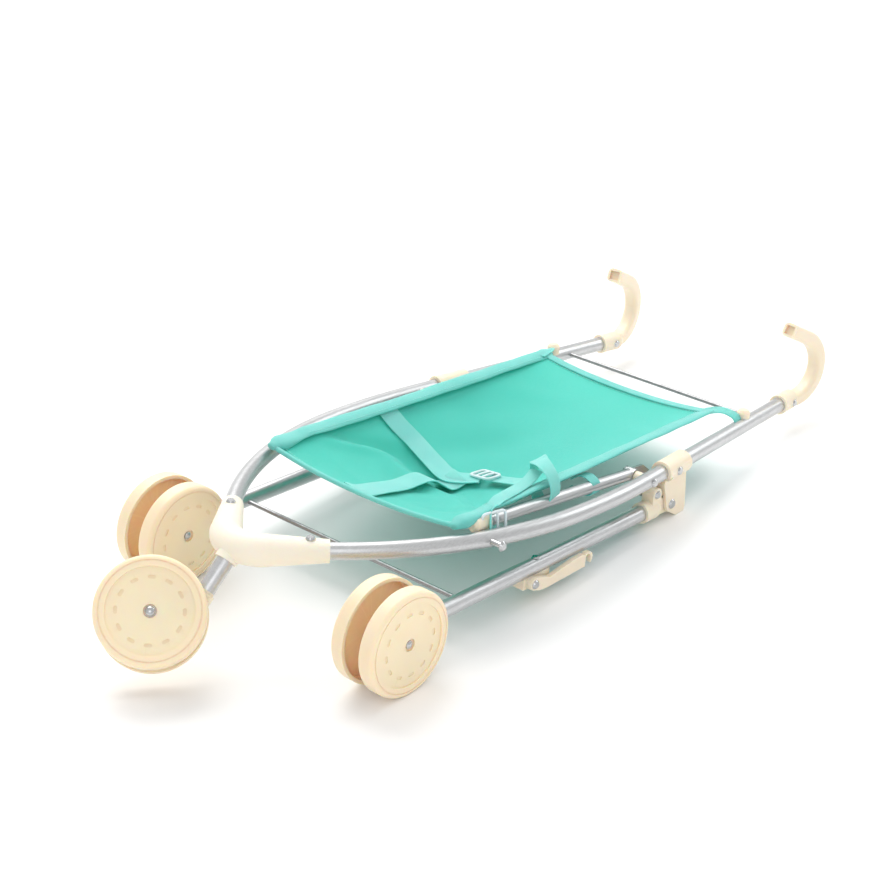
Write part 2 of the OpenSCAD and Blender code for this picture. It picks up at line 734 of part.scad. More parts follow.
module caster_pin() {
    color(steel) in_stem() translate([0, 0, -stem_len - 1.5 - side_gap - 14]) {
        cylinder(r = caster_pin_r, h = bush_len + 14 + side_gap + 1);
        translate([0, 0, bush_len + 14 + side_gap + 0.3]) cylinder(r1 = 4, r2 = 3, h = 1.6);
    }
}

arm_splay = atan2(arm_half - arm_tip_half, arm_len);

// path of the crank pin seen from the seat arm, as the legs open by a degrees
function crank_in_arm(a) =
    let (
        p = crank_at(a) - [arm_u, 0],
        t = lift_ratio * a + arm_rise
    )
    [p.x * cos(t) - p.y * sin(t), p.x * sin(t) + p.y * cos(t)];
slot_steps = 16;
slot_path = [for (i = [0:slot_steps]) crank_in_arm(open_angle * i / slot_steps)];

function slot_normal(i) =
    let (v = slot_path[min(i + 1, slot_steps)] - slot_path[max(i - 1, 0)])
    [-v.y, v.x] / norm(v);

// the slot's path drawn r thick to each side
module slot_shape(r) {
    polygon(concat(
        [for (i = [0:slot_steps]) slot_path[i] + r * slot_normal(i)],
        [for (i = [slot_steps:-1:0]) slot_path[i] - r * slot_normal(i)]
    ));
    for (end = [slot_path[0], slot_path[slot_steps]]) translate(end) circle(r + nest);
}

// flat tail with the slot that the leg's crank pin runs in
module tail_plate() {
    slot_r = small_pin_r + 0.3;
    translate([0, tail_in + tail_t, 0]) rotate([90, 0, 0]) linear_extrude(tail_t) difference() {
        union() {
            slot_shape(slot_r + 2.6);
            polygon([
                [-3, 4], [16, 4], slot_path[slot_steps] + [2, 2], slot_path[slot_steps],
                slot_path[slot_steps / 2], slot_path[0], slot_path[0] + [-3, 2], [-3, -4]
            ]);
        }
        slot_shape(slot_r);
    }
}

module seat_arm(side) {
    color(steel) on_side(side) in_arm() difference() {
        union() {
            translate([0, arm_half, 0]) rotate([0, -90, arm_splay]) cylinder(r = arm_r, h = arm_len);
            cross_bar(arm_r + 0.4, arm_half - arm_r, arm_half + arm_r);
            tail_plate();
        }
        translate([0, arm_half, 0]) rotate([0, -90, arm_splay])
            translate([0, 0, 8]) cylinder(r = arm_r - tube_wall, h = arm_len);
        cross_bar(arm_pin_r + running, 90, 120);
    }
}

module arm_cap(side) {
    color(cream) on_side(side) in_arm() translate([0, arm_half, 0]) rotate([0, -90, arm_splay])
        translate([0, 0, arm_len - 12]) difference() {
            union() {
                cylinder(r = arm_r + 1.2, h = 14);
                translate([0, 0, 14]) cylinder(r1 = arm_r + 1.2, r2 = arm_r - 1.4, h = 2.4);
            }
            translate([0, 0, -1]) cylinder(r = arm_r, h = 13);
        }
}

hinge_gap = 14; // space between the two stretches of the sling solid, for the fold
sling_rows = 10;
sling_cols = 12;

function mix(a, b, t) = a + (b - a) * t;
function sling_point(u, k) =
    let (
        t = (u - sling_front_u) / (sling_back_u - sling_front_u),
        half = mix(sling_front_half, sling_back_half, t),
        sag = 7 + (sling_sag - 7) * pow(sin(180 * min(1, max(0, t))), 0.8)
    )
    [u, half * k, mix(sling_front_n, sling_back_n, t) - sag * (1 - k * k)];

// a closed sheet through a grid of points, t thick, with rows of n points
module sheet(grid, t) {
    rows = len(grid);
    n = len(grid[0]);
    top = [for (row = grid) for (p = row) p + [0, 0, t / 2]];
    low = [for (row = grid) for (p = row) p - [0, 0, t / 2]];
    under = rows * n;
    cells = [for (i = [0:rows - 2]) for (j = [0:n - 2]) i * n + j];
    edge = concat(
        [for (j = [0:n - 2]) j], [for (i = [0:rows - 2]) i * n + n - 1],
        [for (j = [n - 1:-1:1]) (rows - 1) * n + j], [for (i = [rows - 1:-1:1]) i * n]
    );
    count = len(edge);
    polyhedron(
        points = concat(top, low),
        faces = concat(
            [for (c = cells) for (f = [[c, c + n, c + n + 1], [c, c + n + 1, c + 1]]) f],
            [for (c = cells) for (f = [[c, c + n + 1, c + n], [c, c + 1, c + n + 1]])
                [for (v = f) v + under]],
            [for (i = [0:count - 1]) let (a = edge[i], b = edge[(i + 1) % count])
                for (f = [[a, b, b + under], [a, b + under, a + under]]) f]
        )
    );
}

function sling_grid(from, to) = [
    for (i = [0:sling_rows]) [
        for (j = [0:sling_cols]) sling_point(mix(from, to, i / sling_rows), 2 * j / sling_cols - 1)
    ]
];

module sling_seat() {
    color(mint) in_frame() sheet(sling_grid(sling_front_u, arm_u - hinge_gap), sling_t);
}

module sling_back() {
    color(mint) in_frame() sheet(sling_grid(arm_u + hinge_gap, sling_back_u), sling_t);
}

// height of the sling's surface
function sling_n(u, w) =
    let (
        t = (u - sling_front_u) / (sling_back_u - sling_front_u),
        half = mix(sling_front_half, sling_back_half, t)
    )
    sling_point(u, w / half).z;

// a flat strap over the sling through places [u, w], with its width turned from the u direction
strap_t = 1.2;
strap_lift = 2.6;
strap_steps = 5;
function over(p) = [p.x, p.y, sling_n(p.x, p.y) + strap_lift];

module strap(route, turn) {
    side_step = strap_w / 2 * [cos(turn), sin(turn)];
    places = [
        for (i = [0:len(route) - 2]) for (k = [i == 0 ? 0 : 1:strap_steps])
            mix(route[i], route[i + 1], k / strap_steps)
    ];
    color(mint) in_frame() sheet([for (p = places) [over(p - side_step), over(p + side_step)]], strap_t);
}

module crotch_strap() {
    strap([[sling_front_u + 2, 16], [140, 12], [186, 12]], 90);
}

module lap_strap() {
    strap([[204, 84], [200, 50], [198, 14], [208, -14], [200, -50], [196, -84]], 0);
}

module strap_loop() {
    color(mint) in_frame() translate([194, -88, 26]) rotate([0, 90, 0]) difference() {
        cylinder(r = 11, h = strap_w, center = true);
        cylinder(r = 9.8, h = strap_w + 1, center = true);
    }
}

// a two-slot slide buckle
module buckle() {
    color(white_plastic) difference() {
        cube([20, 14, 2], center = true);
        for (end = [-1, 1]) translate([0, end * 3.2, 0]) cube([15.6, 3, 3], center = true);
    }
}

buckle_lift = 3.5; // from the strap's middle to the buckle's

module buckle_lap() {
    in_frame() translate(over([208, -14]) + [0, 0, buckle_lift]) buckle();
}

module buckle_side() {
    in_frame() translate([130, -90, 21]) rotate([0, 0, 70]) buckle();
}

front_yoke();
yoke_screws();
front_stem();
stem_bush();
frame_tube(-1);  // frame_tube_left
frame_tube(1);  // frame_tube_right
side_bracket(-1);  // side_bracket_left
side_bracket(1);  // side_bracket_right
bracket_rivets();
leg_pivot_rivets();
arm_pivot_rivets();
arm_spacer(-1);  // arm_spacer_left
arm_spacer(1);  // arm_spacer_right
top_rod();
handle(-1);  // handle_left
handle(1);  // handle_right
handle_screws();
sling_knob(-1);  // sling_knob_left
sling_knob(1);  // sling_knob_right
latch_stud();
sling_back();
rear_leg(-1);  // rear_leg_left
rear_leg(1);  // rear_leg_right
leg_socket(-1);  // leg_socket_left
leg_socket(1);  // leg_socket_right
crank_pins();
leg_rod();
axle_foot(-1);  // axle_foot_left
axle_foot(1);  // axle_foot_right
latch_base();
latch_screw();
latch_pin();
latch_hook();
color(steel) rear_wheel_place(-1) axle_pin();  // rear_axle_left
color(steel) rear_wheel_place(1) axle_pin();  // rear_axle_right
rear_wheel_place(-1) disc_at(1);  // rear_disc_left_outer
rear_wheel_place(-1) disc_at(-1);  // rear_disc_left_inner
rear_wheel_place(1) disc_at(1);  // rear_disc_right_outer
rear_wheel_place(1) disc_at(-1);  // rear_disc_right_inner
color(bright) rear_wheel_place(-1) dome_caps(3);  // rear_caps_left
color(bright) rear_wheel_place(1) dome_caps(3);  // rear_caps_right
caster_body();
caster_pin();
color(steel) in_caster() axle_pin();  // front_axle
in_caster() disc_at(1);  // front_disc_a
in_caster() disc_at(-1);  // front_disc_b
color(bright) in_caster() dome_caps(4);  // front_caps
seat_arm(-1);  // seat_arm_left
seat_arm(1);  // seat_arm_right
arm_cap(-1);  // arm_cap_left
arm_cap(1);  // arm_cap_right
sling_seat();
crotch_strap();
lap_strap();
strap_loop();
buckle_lap();
buckle_side();
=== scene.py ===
import json
import math

import bpy
import numpy as np
from mathutils import Matrix, Vector


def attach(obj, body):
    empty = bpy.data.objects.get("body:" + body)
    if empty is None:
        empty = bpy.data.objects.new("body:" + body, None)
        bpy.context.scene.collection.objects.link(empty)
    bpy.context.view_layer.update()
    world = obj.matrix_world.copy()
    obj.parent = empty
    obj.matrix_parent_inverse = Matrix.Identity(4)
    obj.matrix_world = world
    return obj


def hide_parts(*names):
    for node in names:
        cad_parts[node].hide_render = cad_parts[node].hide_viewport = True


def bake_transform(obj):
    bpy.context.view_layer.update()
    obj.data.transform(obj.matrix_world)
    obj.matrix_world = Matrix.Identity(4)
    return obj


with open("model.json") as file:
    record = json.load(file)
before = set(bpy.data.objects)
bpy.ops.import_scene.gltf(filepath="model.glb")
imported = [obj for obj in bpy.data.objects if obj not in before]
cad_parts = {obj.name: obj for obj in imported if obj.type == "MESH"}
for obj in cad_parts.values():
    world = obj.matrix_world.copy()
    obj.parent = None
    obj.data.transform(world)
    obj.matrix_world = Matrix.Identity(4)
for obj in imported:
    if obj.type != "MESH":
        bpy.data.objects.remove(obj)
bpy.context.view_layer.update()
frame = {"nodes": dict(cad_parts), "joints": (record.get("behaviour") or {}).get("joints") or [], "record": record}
nodes = frame["nodes"]
joints = {j["name"]: j for j in frame["joints"]}
mm = 0.001
print("frame loaded,", len(nodes), "nodes")

# places: u along the frame from the yoke mouths, w to the right, n off the frame plane, in mm

armPivot = Vector(joints["seat_arm_lift"]["pos_m"])
stemHead = Vector(joints["caster_swivel"]["pos_m"])
stemReach = 43.1
alongFrame = armPivot - stemHead
alongFrame.y = 0
alongFrame.normalize()
offFrame = Vector((-alongFrame.z, 0, alongFrame.x))
frameStart = Vector((stemHead.x, 0, stemHead.z)) + alongFrame * (stemReach * mm)


def onFrame(u, w, n):
    return frameStart + alongFrame * (u * mm) + Vector((0, w * mm, 0)) + offFrame * (n * mm)


def lerp(a, b, t):
    return a + (b - a) * t


def smooth(t):
    t = min(1.0, max(0.0, t))
    return t * t * (3 - 2 * t)


# camera and light

cameraSettings = {
    "place": (-1.04925, -0.9401, 0.7954),
    "forward": (0.6527, 0.6064, -0.4541),
    "right": (0.6747, -0.7379, -0.0153),
    "lens": 82.44,
    "sensor": 36.0,
}


def makeCamera(s):
    data = bpy.data.cameras.new("camera")
    data.lens = s["lens"]
    data.sensor_width = s["sensor"]
    data.clip_start = 0.01
    cam = bpy.data.objects.new("camera", data)
    bpy.context.scene.collection.objects.link(cam)
    forward = Vector(s["forward"]).normalized()
    right = Vector(s["right"])
    right = (right - forward * right.dot(forward)).normalized()
    up = right.cross(forward)
    turn = Matrix((right, up, -forward)).transposed().to_4x4()
    cam.matrix_world = Matrix.Translation(Vector(s["place"])) @ turn
    bpy.context.scene.camera = cam


makeCamera(cameraSettings)

lightSettings = {
    "world": (1.0, 1.0, 1.0),
    "worldStrength": 0.8,
    "key": {"place": (0.5, 1.0, 1.5), "size": 1.7, "power": 27.0, "colour": (1.0, 0.99, 0.975)},
    "fill": {"place": (-1.4, -1.2, 1.2), "size": 1.6, "power": 7.0, "colour": (0.97, 0.985, 1.0)},
    "rim": {"place": (1.3, -0.4, 0.9), "size": 0.9, "power": 4.0, "colour": (0.95, 1.0, 1.0)},
}


def makeArea(name, s, target=Vector((0, 0, 0.03))):
    data = bpy.data.lights.new(name, "AREA")
    data.shape = "DISK"
    data.size = s["size"]
    data.energy = s["power"]
    data.color = s["colour"]
    light = bpy.data.objects.new(name, data)
    bpy.context.scene.collection.objects.link(light)
    light.location = s["place"]
    light.rotation_euler = (target - light.location).to_track_quat("-Z", "Y").to_euler()


def makeWorld(s):
    world = bpy.data.worlds.new("studio")
    world.use_nodes = True
    back = world.node_tree.nodes["Background"]
    back.inputs["Color"].default_value = (*s["world"], 1)
    back.inputs["Strength"].default_value = s["worldStrength"]
    bpy.context.scene.world = world


makeWorld(lightSettings)
for lamp in ("key", "fill", "rim"):
    makeArea(lamp, lightSettings[lamp])
bpy.context.scene.view_settings.view_transform = "Standard"
print("camera and light set")

# shader groups


def newGroup(name, inputs, outputs):
    tree = bpy.data.node_groups.new(name, "ShaderNodeTree")
    for label, kind, value in inputs:
        sock = tree.interface.new_socket(label, in_out="INPUT", socket_type=kind)
        if value is not None:
            sock.default_value = value
    for label, kind in outputs:
        tree.interface.new_socket(label, in_out="OUTPUT", socket_type=kind)
    return tree, tree.nodes.new("NodeGroupInput"), tree.nodes.new("NodeGroupOutput")


def mathNode(tree, op, a, b=None):
    node = tree.nodes.new("ShaderNodeMath")
    node.operation = op
    for socket, value in zip(node.inputs, (a, b)):
        if value is None:
            continue
        if isinstance(value, (int, float)):
            socket.default_value = value
        else:
            tree.links.new(value, socket)
    return node.outputs[0]


def rangeNode(tree, value, lo, hi, toLo=0.0, toHi=1.0):
    node = tree.nodes.new("ShaderNodeMapRange")
    node.interpolation_type = "SMOOTHSTEP"
    tree.links.new(value, node.inputs["Value"])
    for label, v in (("From Min", lo), ("From Max", hi), ("To Min", toLo), ("To Max", toHi)):
        if isinstance(v, (int, float)):
            node.inputs[label].default_value = v
        else:
            tree.links.new(v, node.inputs[label])
    return node.outputs["Result"]


def makeGrainGroup():
    # fine moulding or casting grain with slow cloudy variation
    tree, gin, gout = newGroup(
        "surfaceGrain",
        [("Grain Size", "NodeSocketFloat", 900.0), ("Cloud Size", "NodeSocketFloat", 18.0)],
        [("Grain", "NodeSocketFloat"), ("Cloud", "NodeSocketFloat")],
    )
    coord = tree.nodes.new("ShaderNodeTexCoord")
    for label, out, detail in (("Grain Size", "Grain", 3.0), ("Cloud Size", "Cloud", 2.0)):
        tex = tree.nodes.new("ShaderNodeTexNoise")
        tex.inputs["Detail"].default_value = detail
        tree.links.new(coord.outputs["Object"], tex.inputs["Vector"])
        tree.links.new(gin.outputs[label], tex.inputs["Scale"])
        tree.links.new(tex.outputs["Fac"], gout.inputs[out])
    return tree


def makeEdgeGroup():
    # painted highlight on convex edges from the mesh's own convexity, broken up by noise, and painted shade in its
    # hollows
    tree, gin, gout = newGroup(
        "edgeLightAndHollowShade",
        [
            ("Low", "NodeSocketFloat", 0.52), ("High", "NodeSocketFloat", 0.62),
            ("Breakup", "NodeSocketFloat", 160.0),
        ],
        [("Mask", "NodeSocketFloat"), ("Hollow", "NodeSocketFloat")],
    )
    geo = tree.nodes.new("ShaderNodeNewGeometry")
    coord = tree.nodes.new("ShaderNodeTexCoord")
    tex = tree.nodes.new("ShaderNodeTexNoise")
    tree.links.new(coord.outputs["Object"], tex.inputs["Vector"])
    tree.links.new(gin.outputs["Breakup"], tex.inputs["Scale"])
    edge = rangeNode(tree, geo.outputs["Pointiness"], gin.outputs["Low"], gin.outputs["High"])
    rough = rangeNode(tree, tex.outputs["Fac"], 0.3, 0.7, 0.35, 1.0)
    tree.links.new(mathNode(tree, "MULTIPLY", edge, rough), gout.inputs["Mask"])
    hollowShade = rangeNode(tree, geo.outputs["Pointiness"], 0.5, 0.42)
    tree.links.new(hollowShade, gout.inputs["Hollow"])
    return tree


def makeDrawnGroup():
    # fine lines left along a drawn tube or rod
    tree, gin, gout = newGroup(
        "drawnLines",
        [("Stretch", "NodeSocketVector", (6.0, 420.0, 420.0))],
        [("Lines", "NodeSocketFloat"), ("Smudge", "NodeSocketFloat")],
    )
    coord = tree.nodes.new("ShaderNodeTexCoord")
    scale = tree.nodes.new("ShaderNodeVectorMath")
    scale.operation = "MULTIPLY"
    tree.links.new(coord.outputs["Object"], scale.inputs[0])
    tree.links.new(gin.outputs["Stretch"], scale.inputs[1])
    lines = tree.nodes.new("ShaderNodeTexNoise")
    lines.inputs["Scale"].default_value = 3.0
    lines.inputs["Detail"].default_value = 4.0
    tree.links.new(scale.outputs[0], lines.inputs["Vector"])
    tree.links.new(lines.outputs["Fac"], gout.inputs["Lines"])
    smudge = tree.nodes.new("ShaderNodeTexNoise")
    smudge.inputs["Scale"].default_value = 26.0
    smudge.inputs["Detail"].default_value = 5.0
    tree.links.new(coord.outputs["Object"], smudge.inputs["Vector"])
    tree.links.new(smudge.outputs["Fac"], gout.inputs["Smudge"])
    return tree


def makeWeaveGroup():
    # plain weave over the cloth's own UV map, in threads a metre
    tree, gin, gout = newGroup(
        "plainWeave",
        [
            ("Cloth", "NodeSocketVector", None), ("Threads", "NodeSocketFloat", 1400.0),
            ("Slub", "NodeSocketFloat", 0.25),
        ],
        [("Height", "NodeSocketFloat"), ("Shade", "NodeSocketFloat")],
    )
    split = tree.nodes.new("ShaderNodeSeparateXYZ")
    tree.links.new(gin.outputs["Cloth"], split.inputs[0])
    waves, cells = [], []
    for axis in ("X", "Y"):
        run = mathNode(tree, "MULTIPLY", split.outputs[axis], gin.outputs["Threads"])
        wave = mathNode(tree, "SINE", mathNode(tree, "MULTIPLY", run, math.pi))
        waves.append(mathNode(tree, "ABSOLUTE", wave))
        cells.append(mathNode(tree, "FLOOR", run))
    cellSum = mathNode(tree, "ABSOLUTE", mathNode(tree, "ADD", cells[0], cells[1]))
    parity = mathNode(tree, "MODULO", cellSum, 2.0)
    mix = tree.nodes.new("ShaderNodeMix")
    mix.data_type = "FLOAT"
    tree.links.new(parity, mix.inputs["Factor"])
    tree.links.new(waves[0], mix.inputs["A"])
    tree.links.new(waves[1], mix.inputs["B"])
    slub = tree.nodes.new("ShaderNodeTexNoise")
    slub.inputs["Scale"].default_value = 240.0
    slub.inputs["Detail"].default_value = 4.0
    tree.links.new(gin.outputs["Cloth"], slub.inputs["Vector"])
    uneven = mathNode(tree, "MULTIPLY", slub.outputs["Fac"], gin.outputs["Slub"])
    tree.links.new(mathNode(tree, "ADD", mix.outputs["Result"], uneven), gout.inputs["Height"])
    tree.links.new(rangeNode(tree, mix.outputs["Result"], 0.1, 0.9, 0.86, 1.0), gout.inputs["Shade"])
    return tree


groups = {
    "grain": makeGrainGroup(),
    "edge": makeEdgeGroup(),
    "drawn": makeDrawnGroup(),
    "weave": makeWeaveGroup(),
}
print("shader groups made")

# materials


def newMaterial(name):
    mat = bpy.data.materials.new(name)
    mat.use_nodes = True
    tree = mat.node_tree
    return mat, tree, tree.nodes["Principled BSDF"]


def placeGroup(tree, key, **values):
    node = tree.nodes.new("ShaderNodeGroup")
    node.node_tree = groups[key]
    for label, value in values.items():
        node.inputs[label.replace("_", " ")].default_value = value
    return node


def mixColour(tree, factor, a, b, blend="MIX"):
    node = tree.nodes.new("ShaderNodeMix")
    node.data_type = "RGBA"
    node.blend_type = blend
    for label, value in (("Factor", factor), ("A", a), ("B", b)):
        socket = [s for s in node.inputs if s.name == label and s.enabled][0]
        if isinstance(value, tuple):
            socket.default_value = (*value, 1)
        elif isinstance(value, (int, float)):
            socket.default_value = value
        else:
            tree.links.new(value, socket)
    return [s for s in node.outputs if s.enabled][0]


def addBump(tree, bsdf, height, strength, distance):
    bump = tree.nodes.new("ShaderNodeBump")
    bump.inputs["Strength"].default_value = strength
    bump.inputs["Distance"].default_value = distance
    tree.links.new(height, bump.inputs["Height"])
    tree.links.new(bump.outputs["Normal"], bsdf.inputs["Normal"])


def plasticMaterial(name, s):
    mat, tree, bsdf = newMaterial(name)
    grain = placeGroup(tree, "grain", Grain_Size=s["grainSize"], Cloud_Size=s["cloudSize"])
    edge = placeGroup(tree, "edge", Low=0.53, High=0.66, Breakup=120.0)
    cloud = rangeNode(tree, grain.outputs["Cloud"], 0.35, 0.65)
    base = mixColour(tree, cloud, s["colour"], s["cloudColour"])
    # painted shade: hollows darkened toward the hollow colour
    hollowShade = mathNode(tree, "MULTIPLY", edge.outputs["Hollow"], s["hollowShade"])
    base = mixColour(tree, hollowShade, base, s["hollowShadeColour"])
    # painted highlight: convex edges lightened toward the edge colour
    paintedHighlight = mathNode(tree, "MULTIPLY", edge.outputs["Mask"], s["edge"])
    base = mixColour(tree, paintedHighlight, base, s["edgeHighlightColour"])
    tree.links.new(base, bsdf.inputs["Base Color"])
    rough = rangeNode(tree, grain.outputs["Cloud"], 0.3, 0.7, s["rough"], s["rough"] + 0.1)
    tree.links.new(rough, bsdf.inputs["Roughness"])
    bsdf.inputs["Subsurface Weight"].default_value = s["subsurface"]
    bsdf.inputs["Subsurface Radius"].default_value = s["radius"]
    bsdf.inputs["Subsurface Scale"].default_value = s["scatter"]
    bsdf.inputs["Specular IOR Level"].default_value = s["specular"]
    addBump(tree, bsdf, grain.outputs["Grain"], s["bump"], 0.0002)
    return mat


def metalMaterial(name, s):
    mat, tree, bsdf = newMaterial(name)
    drawn = placeGroup(tree, "drawn", Stretch=s["stretch"])
    edge = placeGroup(tree, "edge", Low=0.54, High=0.68, Breakup=220.0)
    lines = rangeNode(tree, drawn.outputs["Lines"], 0.3, 0.7)
    base = mixColour(tree, lines, s["colour"], s["lineColour"])
    # painted highlight: convex edges lightened toward the edge colour
    paintedHighlight = mathNode(tree, "MULTIPLY", edge.outputs["Mask"], s["edge"])
    base = mixColour(tree, paintedHighlight, base, s["edgeHighlightColour"])
    tree.links.new(base, bsdf.inputs["Base Color"])
    bsdf.inputs["Metallic"].default_value = s["metallic"]
    rough = rangeNode(tree, drawn.outputs["Smudge"], 0.3, 0.7, s["rough"], s["rough"] + s["smudge"])
    tree.links.new(rough, bsdf.inputs["Roughness"])
    bsdf.inputs["Coat Weight"].default_value = s["coat"]
    bsdf.inputs["Coat Roughness"].default_value = 0.18
    addBump(tree, bsdf, drawn.outputs["Lines"], s["bump"], 0.0001)
    return mat


def clothMaterial(name, s):
    mat, tree, bsdf = newMaterial(name)
    uv = tree.nodes.new("ShaderNodeUVMap")
    uv.uv_map = "cloth"
    weave = placeGroup(tree, "weave", Threads=s["threads"], Slub=s["slub"])
    tree.links.new(uv.outputs["UV"], weave.inputs["Cloth"])
    grain = placeGroup(tree, "grain", Grain_Size=500.0, Cloud_Size=s["cloudSize"])
    cloud = rangeNode(tree, grain.outputs["Cloud"], 0.3, 0.7)
    base = mixColour(tree, cloud, s["colour"], s["cloudColour"])
    shade = tree.nodes.new("ShaderNodeCombineColor")
    for label in ("Red", "Green", "Blue"):
        tree.links.new(weave.outputs["Shade"], shade.inputs[label])
    base = mixColour(tree, 1.0, base, shade.outputs[0], "MULTIPLY")
    tree.links.new(base, bsdf.inputs["Base Color"])
    rough = rangeNode(tree, grain.outputs["Grain"], 0.3, 0.7, s["rough"] - 0.06, s["rough"] + 0.06)
    tree.links.new(rough, bsdf.inputs["Roughness"])
    bsdf.inputs["Sheen Weight"].default_value = s["sheen"]
    bsdf.inputs["Sheen Roughness"].default_value = 0.4
    bsdf.inputs["Sheen Tint"].default_value = (*s["sheenColour"], 1)
    bsdf.inputs["Subsurface Weight"].default_value = s["subsurface"]
    bsdf.inputs["Subsurface Radius"].default_value = (0.35, 1.0, 0.85)
    bsdf.inputs["Subsurface Scale"].default_value = 0.003
    bsdf.inputs["Specular IOR Level"].default_value = 0.35
    addBump(tree, bsdf, weave.outputs["Height"], s["bump"], 0.00012)
    return mat


# the hollow colour is painted shade in hollows and the edge colour a painted highlight on convex edges
plasticSettings = {
    "colour": (0.83, 0.72, 0.555), "cloudColour": (0.85, 0.745, 0.585), "hollowShade": 0.35,
    "hollowShadeColour": (0.72, 0.50, 0.30), "edge": 0.3, "edgeHighlightColour": (0.88, 0.76, 0.60), "grainSize": 1500.0,
    "cloudSize": 22.0, "rough": 0.34, "subsurface": 0.45, "radius": (1.0, 0.6, 0.28), "scatter": 0.004,
    "specular": 0.45, "bump": 0.08,
}
wheelSettings = dict(
    plasticSettings, colour=(0.90, 0.72, 0.51), cloudColour=(0.91, 0.745, 0.54), subsurface=0.6,
    radius=(1.0, 0.52, 0.2), scatter=0.006, rough=0.4, hollowShade=0.35,
)
# the tubes' edge colour is a painted highlight on convex edges
tubeSettings = {
    "colour": (0.50, 0.505, 0.51), "lineColour": (0.58, 0.585, 0.59), "edge": 0.3,
    "edgeHighlightColour": (0.75, 0.75, 0.77),
    "metallic": 0.88, "rough": 0.32, "smudge": 0.06, "coat": 0.1, "bump": 0.03, "stretch": (6.0, 420.0, 420.0),
}
rivetSettings = dict(
    tubeSettings, colour=(0.45, 0.455, 0.46), lineColour=(0.55, 0.555, 0.56), metallic=1.0, rough=0.18, coat=0.0,
    stretch=(60.0, 60.0, 60.0), edge=0.5,
)
rodSettings = dict(
    tubeSettings, colour=(0.22, 0.225, 0.23), lineColour=(0.3, 0.305, 0.31), metallic=0.9,
    rough=0.3, stretch=(400.0, 6.0, 400.0),
)
clothSettings = {
    "colour": (0.055, 0.50, 0.42), "cloudColour": (0.07, 0.53, 0.45), "threads": 1300.0, "slub": 0.3,
    "cloudSize": 9.0, "rough": 0.58, "sheen": 0.2, "sheenColour": (0.75, 1.0, 0.95), "subsurface": 0.8, "bump": 0.5,
}
hemSettings = dict(clothSettings, colour=(0.15, 0.56, 0.51), cloudColour=(0.18, 0.59, 0.54), cloudSize=30.0)
webbingSettings = dict(clothSettings, colour=(0.20, 0.62, 0.57), cloudColour=(0.23, 0.65, 0.60), threads=900.0,
                       cloudSize=40.0, bump=0.8)
# the buckle's edge colour is a painted highlight and its hollow colour painted shade
buckleSettings = dict(
    plasticSettings, colour=(0.66, 0.74, 0.76), cloudColour=(0.70, 0.78, 0.79), hollowShadeColour=(0.6, 0.68, 0.7),
    edgeHighlightColour=(0.95, 0.97, 0.98), rough=0.24, radius=(0.8, 0.9, 1.0), scatter=0.002,
)

materials = {
    "cream_plastic": plasticMaterial("creamPlastic", plasticSettings),
    "wheel_plastic": plasticMaterial("wheelPlastic", wheelSettings),
    "satin_tube": metalMaterial("satinTube", tubeSettings),
    "bright_steel": metalMaterial("rivetSteel", rivetSettings),
    "zinc_steel": metalMaterial("rodSteel", rodSettings),
    "mint_fabric": clothMaterial("mintCloth", clothSettings),
    "white_buckle": plasticMaterial("bucklePlastic", buckleSettings),
}
# painted light: a brighter copy of the same cream plastic, for the front yoke alone
litYokeCream = plasticMaterial("litYokeCream", dict(
    plasticSettings, colour=(0.87, 0.80, 0.67), cloudColour=(0.89, 0.82, 0.69), hollowShade=0.2, rough=0.42))
hemCloth = clothMaterial("mintHem", hemSettings)
webbing = clothMaterial("mintWebbing", webbingSettings)
threadSettings = dict(hemSettings, colour=(0.32, 0.76, 0.69), cloudColour=(0.35, 0.78, 0.71))
thread = clothMaterial("mintThread", threadSettings)

slotOf = {p["node"]: p["material_slot"] for p in frame["record"]["subparts"]}
softNodes = {"sling_seat", "sling_back", "crotch_strap", "lap_strap", "strap_loop", "buckle_lap", "buckle_side"}
for name, obj in nodes.items():
    obj.data.materials.clear()
    obj.data.materials.append(litYokeCream if name == "front_yoke" else materials[slotOf[name]])
    obj.data.shade_smooth()
    if name not in softNodes:
        smoothing = obj.modifiers.new("smoothing", "EDGE_SPLIT")
        smoothing.split_angle = math.radians(32)
print("materials given to", len(nodes), "nodes")

# mesh helpers


def makeMesh(name, points, faces, material, uvs=None):
    data = bpy.data.meshes.new(name)
    data.from_pydata([tuple(p) for p in points], [], faces)
    layer = data.uv_layers.new(name="cloth")
    if uvs is not None:
        for loop in data.loops:
            layer.data[loop.index].uv = uvs[loop.vertex_index]
    data.shade_smooth()
    data.materials.append(material)
    obj = bpy.data.objects.new(name, data)
    bpy.context.scene.collection.objects.link(obj)
    return obj


def loft(name, centres, acrosses, section, material, closed=False):
    # a closed section, given as (across, up) in metres for each centre, swept along the centres
    count = len(centres)
    points, uvs, run = [], [], 0.0
    size = len(section(0))
    for i, c in enumerate(centres):
        after = centres[(i + 1) % count] if closed else centres[min(i + 1, count - 1)]
        before = centres[i - 1] if closed or i else centres[0]
        along = (after - before).normalized()
        across = (acrosses[i] - along * acrosses[i].dot(along)).normalized()
        up = along.cross(across)
        if i:
            run += (c - centres[i - 1]).length
        around = 0.0
        last = None
        for a, b in section(i):
            p = c + across * a + up * b
            points.append(p)
            if last is not None:
                around += (p - last).length
            last = p
            uvs.append((run, around))
    faces = []
    for i in range(count if closed else count - 1):
        j = (i + 1) % count
        for k in range(size):
            m = (k + 1) % size
            faces.append((i * size + k, i * size + m, j * size + m, j * size + k))
    if not closed:
        faces.append(tuple(reversed(range(size))))
        faces.append(tuple((count - 1) * size + k for k in range(size)))
    return makeMesh(name, points, faces, material, uvs)


